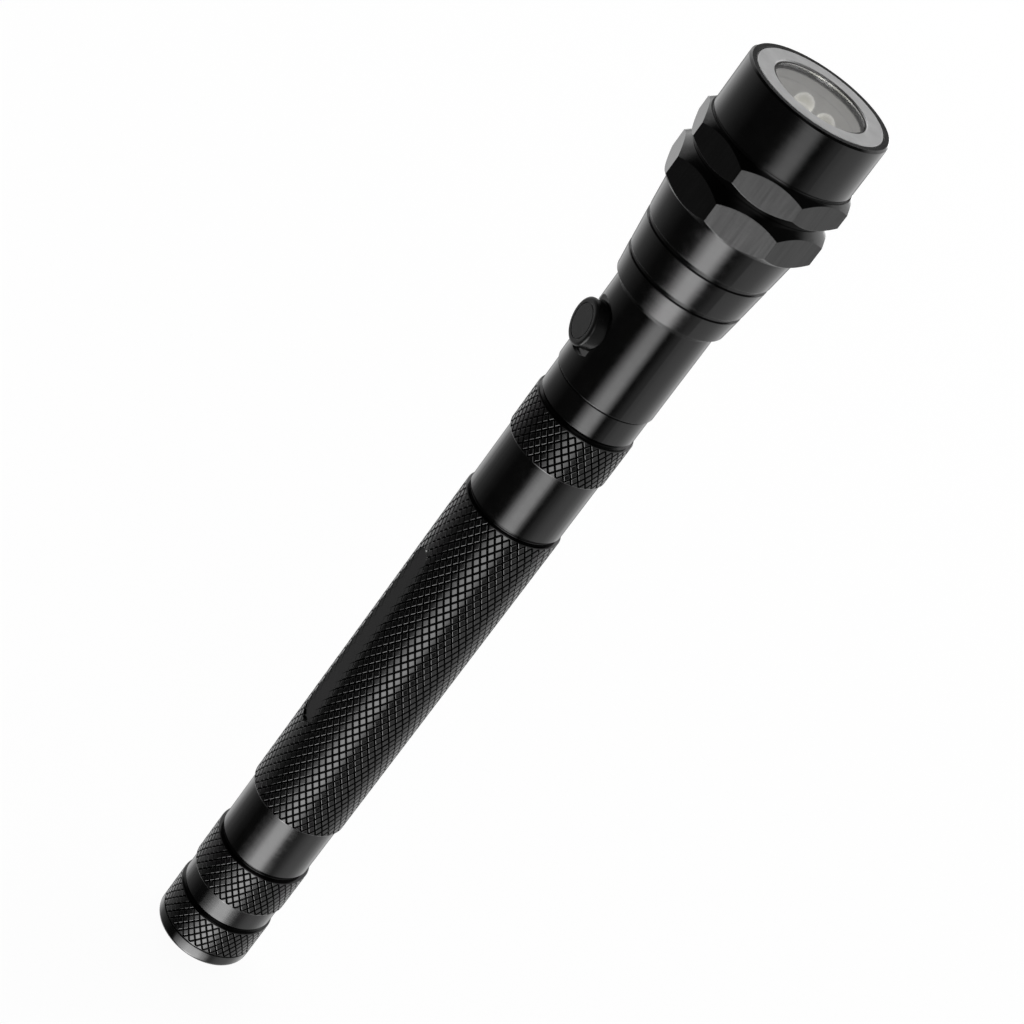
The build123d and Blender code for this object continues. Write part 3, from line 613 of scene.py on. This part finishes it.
def led_epoxy(name):
    """Milky lamp domes over a yellowish core, with a painted glow, strongest where they turn away, that
    stands in for the light the domes catch.
    """
    s = Shader(name)
    turn = s.node("ShaderNodeLayerWeight")
    turn.inputs["Blend"].default_value = 0.4
    facing = turn.outputs["Facing"]
    s.tint(s.ranged(s.noise(900.0), 0, 1), (0.8, 0.8, 0.74), (0.9, 0.9, 0.88))
    # painted light: the domes' emission is a painted glow, brighter where the surface turns away from the
    # view
    painted_glow = s.node("ShaderNodeMix", data_type="RGBA")
    painted_glow.inputs[6].default_value = (0.88, 0.86, 0.76, 1)
    painted_glow.inputs[7].default_value = (1.0, 0.98, 0.96, 1)
    s.link(facing, painted_glow.inputs["Factor"])
    s.link(painted_glow.outputs[2], s.main.inputs["Emission Color"])
    s.link(s.ranged(facing, 0.44, 0.66, 0.1, 0.6), s.main.inputs["Emission Strength"])
    s.set(Roughness=0.12)
    s.bump(s.noise(1800.0, 2.0), 0.002 * MM)
    return s.material


def make_materials():
    """One material for each slot of the record."""
    fine, soft = 0.08 * MM, 0.06 * MM  # roundness of the edges of smaller pieces
    return {
        "black_anodised": black_metal("black_anodised"),
        "black_knurled": knurled_metal("black_knurled"),
        "button_black": turned_metal(
            "button_black", grey(0.006), grey(0.009), (0.2, 0.28), 0.0, fine, lines=0.5, specular=0.16
        ),
        "black_rubber": moulded("black_rubber", grey(0.012), grey(0.02), (0.45, 0.6)),
        "plated_cup": turned_metal("plated_cup", grey(0.42), grey(0.5), (0.25, 0.35), 1.0),
        "magnet_nickel": turned_metal(
            "magnet_nickel", grey(0.65), grey(0.74), (0.42, 0.52), 1.0, soft, lines=0.6
        ),
        "clear_lens": lens_plastic("clear_lens"),
        "led_epoxy": led_epoxy("led_epoxy"),
        "holder_plastic": moulded(
            "holder_plastic",
            grey(0.39),
            grey(0.46),
            (0.3, 0.4),
            # painted light: a faint glow lightens the holder as if lit behind the lens
            Emission_Color=(1.0, 0.98, 0.96, 1),
            Emission_Strength=0.17,
        ),
        "board_green": moulded("board_green", (0.01, 0.09, 0.03), (0.02, 0.14, 0.05), (0.3, 0.45)),
        "contact_nickel": turned_metal("contact_nickel", grey(0.5), grey(0.6), (0.2, 0.3), 1.0),
        "switch_plastic": moulded("switch_plastic", grey(0.02), grey(0.03), (0.35, 0.45)),
        "sleeve_plastic": moulded("sleeve_plastic", grey(0.5), grey(0.58), (0.35, 0.5)),
        "cell_steel": turned_metal("cell_steel", grey(0.5), grey(0.56), (0.2, 0.3), 1.0),
        "slug_brass": turned_metal("slug_brass", (0.6, 0.42, 0.17), (0.68, 0.5, 0.22), (0.25, 0.35), 1.0),
        "spring_bronze": turned_metal(
            "spring_bronze", (0.5, 0.3, 0.14), (0.58, 0.36, 0.18), (0.25, 0.35), 1.0
        ),
        "neck_chrome": turned_metal(
            "neck_chrome", grey(0.55), grey(0.62), (0.16, 0.24), 1.0, bevel=0.0, lines=0.3
        ),
        "chrome_tube": turned_metal(
            "chrome_tube", grey(0.62), grey(0.68), (0.10, 0.15), 1.0, fine, lines=0.5
        ),
        "satin_tube": turned_metal("satin_tube", grey(0.48), grey(0.56), (0.32, 0.4), 1.0, fine),
    }


def dress(materials):
    """Give every piece and every CAD node the material of its slot."""
    slots = {row["node"]: row["material_slot"] for row in frame["record"]["subparts"]}
    for name, node in frame["nodes"].items():
        node.data.materials.clear()
        node.data.materials.append(materials[slots[name]])
    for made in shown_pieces():
        if "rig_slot" in made:
            made.data.materials.clear()
            knurled = made.name.endswith("_knurled")
            made.data.materials.append(materials["black_knurled" if knurled else made["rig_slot"]])


# ------------------------------------------------------------------ studio
VIEW_AZIMUTH = math.radians(57)
TO_CAMERA = Vector((math.sin(VIEW_AZIMUTH), -math.cos(VIEW_AZIMUTH), 0))
TO_RIGHT = Vector((math.cos(VIEW_AZIMUTH), math.sin(VIEW_AZIMUTH), 0))
ROLL = math.radians(36.66)

# The room's light as (place, level) stops. A place round the room is an angle in degrees, from the camera
# to its right. A place in height is the upward part of a direction, from -1 to 1.
WALLS_ROUND = [(-180, 1.1), (-135, 1.05), (-120, 0.65), (-110, 0.42), (-100, 0.32), (-80, 0.14)]
WALLS_ROUND += [(-60, 0.03), (42, 0.03), (50, 0.14), (62, 0.42), (80, 0.75), (105, 0.7)]
WALLS_ROUND += [(130, 0.95), (180, 1.1)]
WALLS_HEIGHT = [(-1, 1), (0.3, 1), (0.6, 0.05), (1, 0.04)]
# how much a dark flag straight behind the tool takes from the walls
FLAG_ROUND = [(-180, 0.85), (-168, 0.8), (-155, 0), (155, 0), (168, 0.8), (180, 0.85)]
FLAG_HEIGHT = [(-1, 1), (0.37, 1), (0.45, 0), (1, 0)]
# the softbox by the camera: the angle of its middle, its half width, its falloff across and its level
BOX_MIDDLE = [(-1, 5), (-0.63, 5), (-0.47, 12), (-0.33, 17), (-0.2, 12), (1, 12)]
BOX_HALF = [(-1, 46), (-0.64, 44), (-0.61, 27), (-0.59, 24), (-0.47, 25), (-0.33, 17), (-0.2, 26), (1, 26)]
BOX_ACROSS = [(-2, 0), (-1.1, 0), (-0.6, 0.5), (-0.15, 1.0), (0.5, 1.0), (1.0, 0.25), (1.2, 0), (2, 0)]
BOX_HEIGHT = [(-1, 8.0), (-0.65, 8.0), (-0.6, 6.2), (-0.47, 4.6), (-0.42, 3.9), (-0.36, 1.9), (-0.3, 1.1)]
BOX_HEIGHT += [(-0.2, 2.0), (0, 3.0), (0.4, 1.0), (0.6, 0.1), (1, 0.1)]
# a panel and a strip behind the tool, for the views from the back
PANEL_ROUND = [(-180, 1), (-140, 1), (-115, 0), (115, 0), (140, 1), (180, 1)]
PANEL_HEIGHT = [(-1, 0), (0.38, 0), (0.48, 0.8), (0.72, 0.8), (0.8, 0), (1, 0)]
STRIP_ROUND = [(-180, 3.2), (-177, 3.2), (-167, 0), (152, 0), (162, 3.2), (180, 3.2)]
STRIP_HEIGHT = [(-1, 0), (-0.33, 0), (-0.26, 1), (-0.04, 1), (0.06, 0), (1, 0)]


def build_world():
    """A white room with dark sides, a tall softbox by the camera, and a panel and a strip at the back."""
    world = bpy.data.worlds.new("studio")
    bpy.context.scene.world = world
    world.use_nodes = True
    tree = world.node_tree
    tree.nodes.clear()

    def math_node(kind, a, b=None):
        made = tree.nodes.new("ShaderNodeMath")
        made.operation = kind
        for slot, value in ((0, a), (1, b)):
            if isinstance(value, (int, float)):
                made.inputs[slot].default_value = value
            elif value is not None:
                tree.links.new(value, made.inputs[slot])
        return made.outputs[0]

    def dot(direction, with_vector):
        made = tree.nodes.new("ShaderNodeVectorMath")
        made.operation = "DOT_PRODUCT"
        tree.links.new(direction, made.inputs[0])
        made.inputs[1].default_value = with_vector
        return made.outputs["Value"]

    def ramp(value, low, high, stops):
        """A piecewise linear curve through (place, level) stops; levels may pass 1."""
        made = tree.nodes.new("ShaderNodeFloatCurve")
        top = max(level for _, level in stops)
        curve = made.mapping.curves[0]
        made.mapping.use_clip = False
        for k, (place, level) in enumerate(stops):
            x, y = (place - low) / (high - low), level / top
            if k < 2:
                curve.points[k].location = (x, y)
            else:
                curve.points.new(x, y)
        for point in curve.points:
            point.handle_type = "VECTOR"
        made.mapping.update()
        scaled = math_node("DIVIDE", math_node("SUBTRACT", value, low), high - low)
        tree.links.new(scaled, made.inputs["Value"])
        return math_node("MULTIPLY", made.outputs[0], top)

    place = tree.nodes.new("ShaderNodeTexCoord").outputs["Generated"]
    front, side, up = dot(place, TO_CAMERA), dot(place, TO_RIGHT), dot(place, Vector((0, 0, 1)))
    angle = math_node("MULTIPLY", math_node("ARCTAN2", side, front), 180 / math.pi)

    def around(stops):
        return ramp(angle, -180, 180, stops)

    def height(stops):
        return ramp(up, -1, 1, stops)

    flag = math_node("SUBTRACT", 1.0, math_node("MULTIPLY", around(FLAG_ROUND), height(FLAG_HEIGHT)))
    walls = math_node("MULTIPLY", math_node("MULTIPLY", around(WALLS_ROUND), flag), height(WALLS_HEIGHT))
    across = math_node("DIVIDE", math_node("SUBTRACT", angle, height(BOX_MIDDLE)), height(BOX_HALF))
    box = math_node("MULTIPLY", ramp(across, -2, 2, BOX_ACROSS), height(BOX_HEIGHT))
    panel = math_node("MULTIPLY", height(PANEL_HEIGHT), around(PANEL_ROUND))
    strip = math_node("MULTIPLY", around(STRIP_ROUND), height(STRIP_HEIGHT))
    total = math_node("ADD", math_node("ADD", walls, math_node("ADD", panel, strip)), box)
    seen = tree.nodes.new("ShaderNodeLightPath").outputs["Is Camera Ray"]
    lights = tree.nodes.new("ShaderNodeBackground")
    tree.links.new(total, lights.inputs["Strength"])
    lights.inputs["Color"].default_value = (1, 1, 1, 1)
    plain = tree.nodes.new("ShaderNodeBackground")
    plain.inputs["Color"].default_value = (1, 1, 1, 1)
    plain.inputs["Strength"].default_value = 1.0
    mix = tree.nodes.new("ShaderNodeMixShader")
    tree.links.new(seen, mix.inputs[0])
    tree.links.new(lights.outputs[0], mix.inputs[1])
    tree.links.new(plain.outputs[0], mix.inputs[2])
    out = tree.nodes.new("ShaderNodeOutputWorld")
    tree.links.new(mix.outputs[0], out.inputs["Surface"])


def build_floor():
    """A plain pale floor that reflections look through, so that only the room shows in the metal."""
    count, radius, drop = 96, 6.0, -0.2 * MM
    verts = [(0, 0, drop)]
    for k in range(count):
        a = TURN * k / count
        verts.append((radius * math.cos(a), radius * math.sin(a), drop))
    faces = [(0, 1 + k, 1 + (k + 1) % count) for k in range(count)]
    mesh = bpy.data.meshes.new("floor")
    mesh.from_pydata(verts, [], faces)
    floor = bpy.data.objects.new("floor", mesh)
    bpy.context.scene.collection.objects.link(floor)
    floor.visible_glossy = False
    s = Shader("floor_pale")
    s.tint(s.ranged(s.noise(3.0), 0, 1), grey(0.12), grey(0.125))
    s.set(Roughness=0.9, Emission_Color=(1, 1, 1, 1), Emission_Strength=0.95)
    mesh.materials.append(s.material)


def camera_pose(eye, target, roll):
    """Camera angles for an eye and a target, rolled so that the tool leans to the right."""
    ahead = (target - eye).normalized()
    right = ahead.cross(Vector((0, 0, 1))).normalized()
    up = right.cross(ahead)
    across = right * math.cos(roll) + up * math.sin(roll)
    top = up * math.cos(roll) - right * math.sin(roll)
    turn = Matrix((across, top, -ahead)).transposed()
    return turn.to_euler("XYZ")


def follow(camera, body, axis, span, shift, turn=(0, 0, 0)):
    """Shift and turn the camera while one coordinate of a body runs over a span."""
    for kind, change in (("LOCATION", shift), ("ROTATION", turn)):
        rule = camera.constraints.new("TRANSFORM")
        rule.target = frame["bodies"][body]
        rule.map_from = "LOCATION"
        setattr(rule, f"from_min_{axis}", min(span))
        setattr(rule, f"from_max_{axis}", max(span))
        rule.map_to = kind
        rule.map_to_x_from = rule.map_to_y_from = rule.map_to_z_from = axis.upper()
        tail = "" if kind == "LOCATION" else "_rot"
        limit = "max" if span[1] > span[0] else "min"
        for k in range(3):
            setattr(rule, f"to_{limit}_{'xyz'[k]}{tail}", change[k])
        setattr(rule, "mix_mode" + tail, "ADD")


def build_camera():
    """One viewpoint for the closed tool, from above its side, which draws back as the tubes come out."""
    data = bpy.data.cameras.new("camera")
    data.lens = 102
    data.sensor_width = 36
    data.clip_start, data.clip_end = 0.01, 20
    camera = bpy.data.objects.new("camera", data)
    bpy.context.scene.collection.objects.link(camera)
    target = Vector((0, 0, 0.0942))
    eye = TO_CAMERA * 0.3645 + Vector((0, 0, 0.2954))
    near = camera_pose(eye, target, ROLL)
    camera.rotation_mode = "XYZ"
    camera.location = eye
    camera.rotation_euler = near
    # viewpoint for the fully extended tool
    azimuth, lift, reach = math.radians(39), math.radians(28.9), 1.32
    middle = Vector((0.028, 0, 0.262))
    back = Vector((math.sin(azimuth) * math.cos(lift), -math.cos(azimuth) * math.cos(lift), math.sin(lift)))
    far_eye = middle + back * reach
    far = camera_pose(far_eye, middle, ROLL)
    # one tube pulled out: straight back and up; neck bent: down, so that the hanging head stays in view
    one_tube, all_tubes, bent = 0.073, 0.3878, -0.0815
    step_back = (eye - target) * 0.4 + Vector((0, 0, 0.04))
    frame_axes = near.to_matrix().col
    for_bend = frame_axes[0] * -0.005 + frame_axes[1] * -0.027
    rest = far_eye - eye - step_back - for_bend
    turn = [far[k] - near[k] for k in range(3)]
    follow(camera, "neck_slider", "z", (0, one_tube), step_back)
    follow(camera, "head", "x", (0, bent), for_bend)
    follow(camera, "neck_slider", "z", (one_tube, all_tubes), rest, turn)
    bpy.context.scene.camera = camera


build_handle()
build_tail_cap()
build_neck()
build_switch_spring()
dress(make_materials())
build_world()
build_floor()
build_camera()
bpy.context.scene.view_settings.view_transform = "Standard"
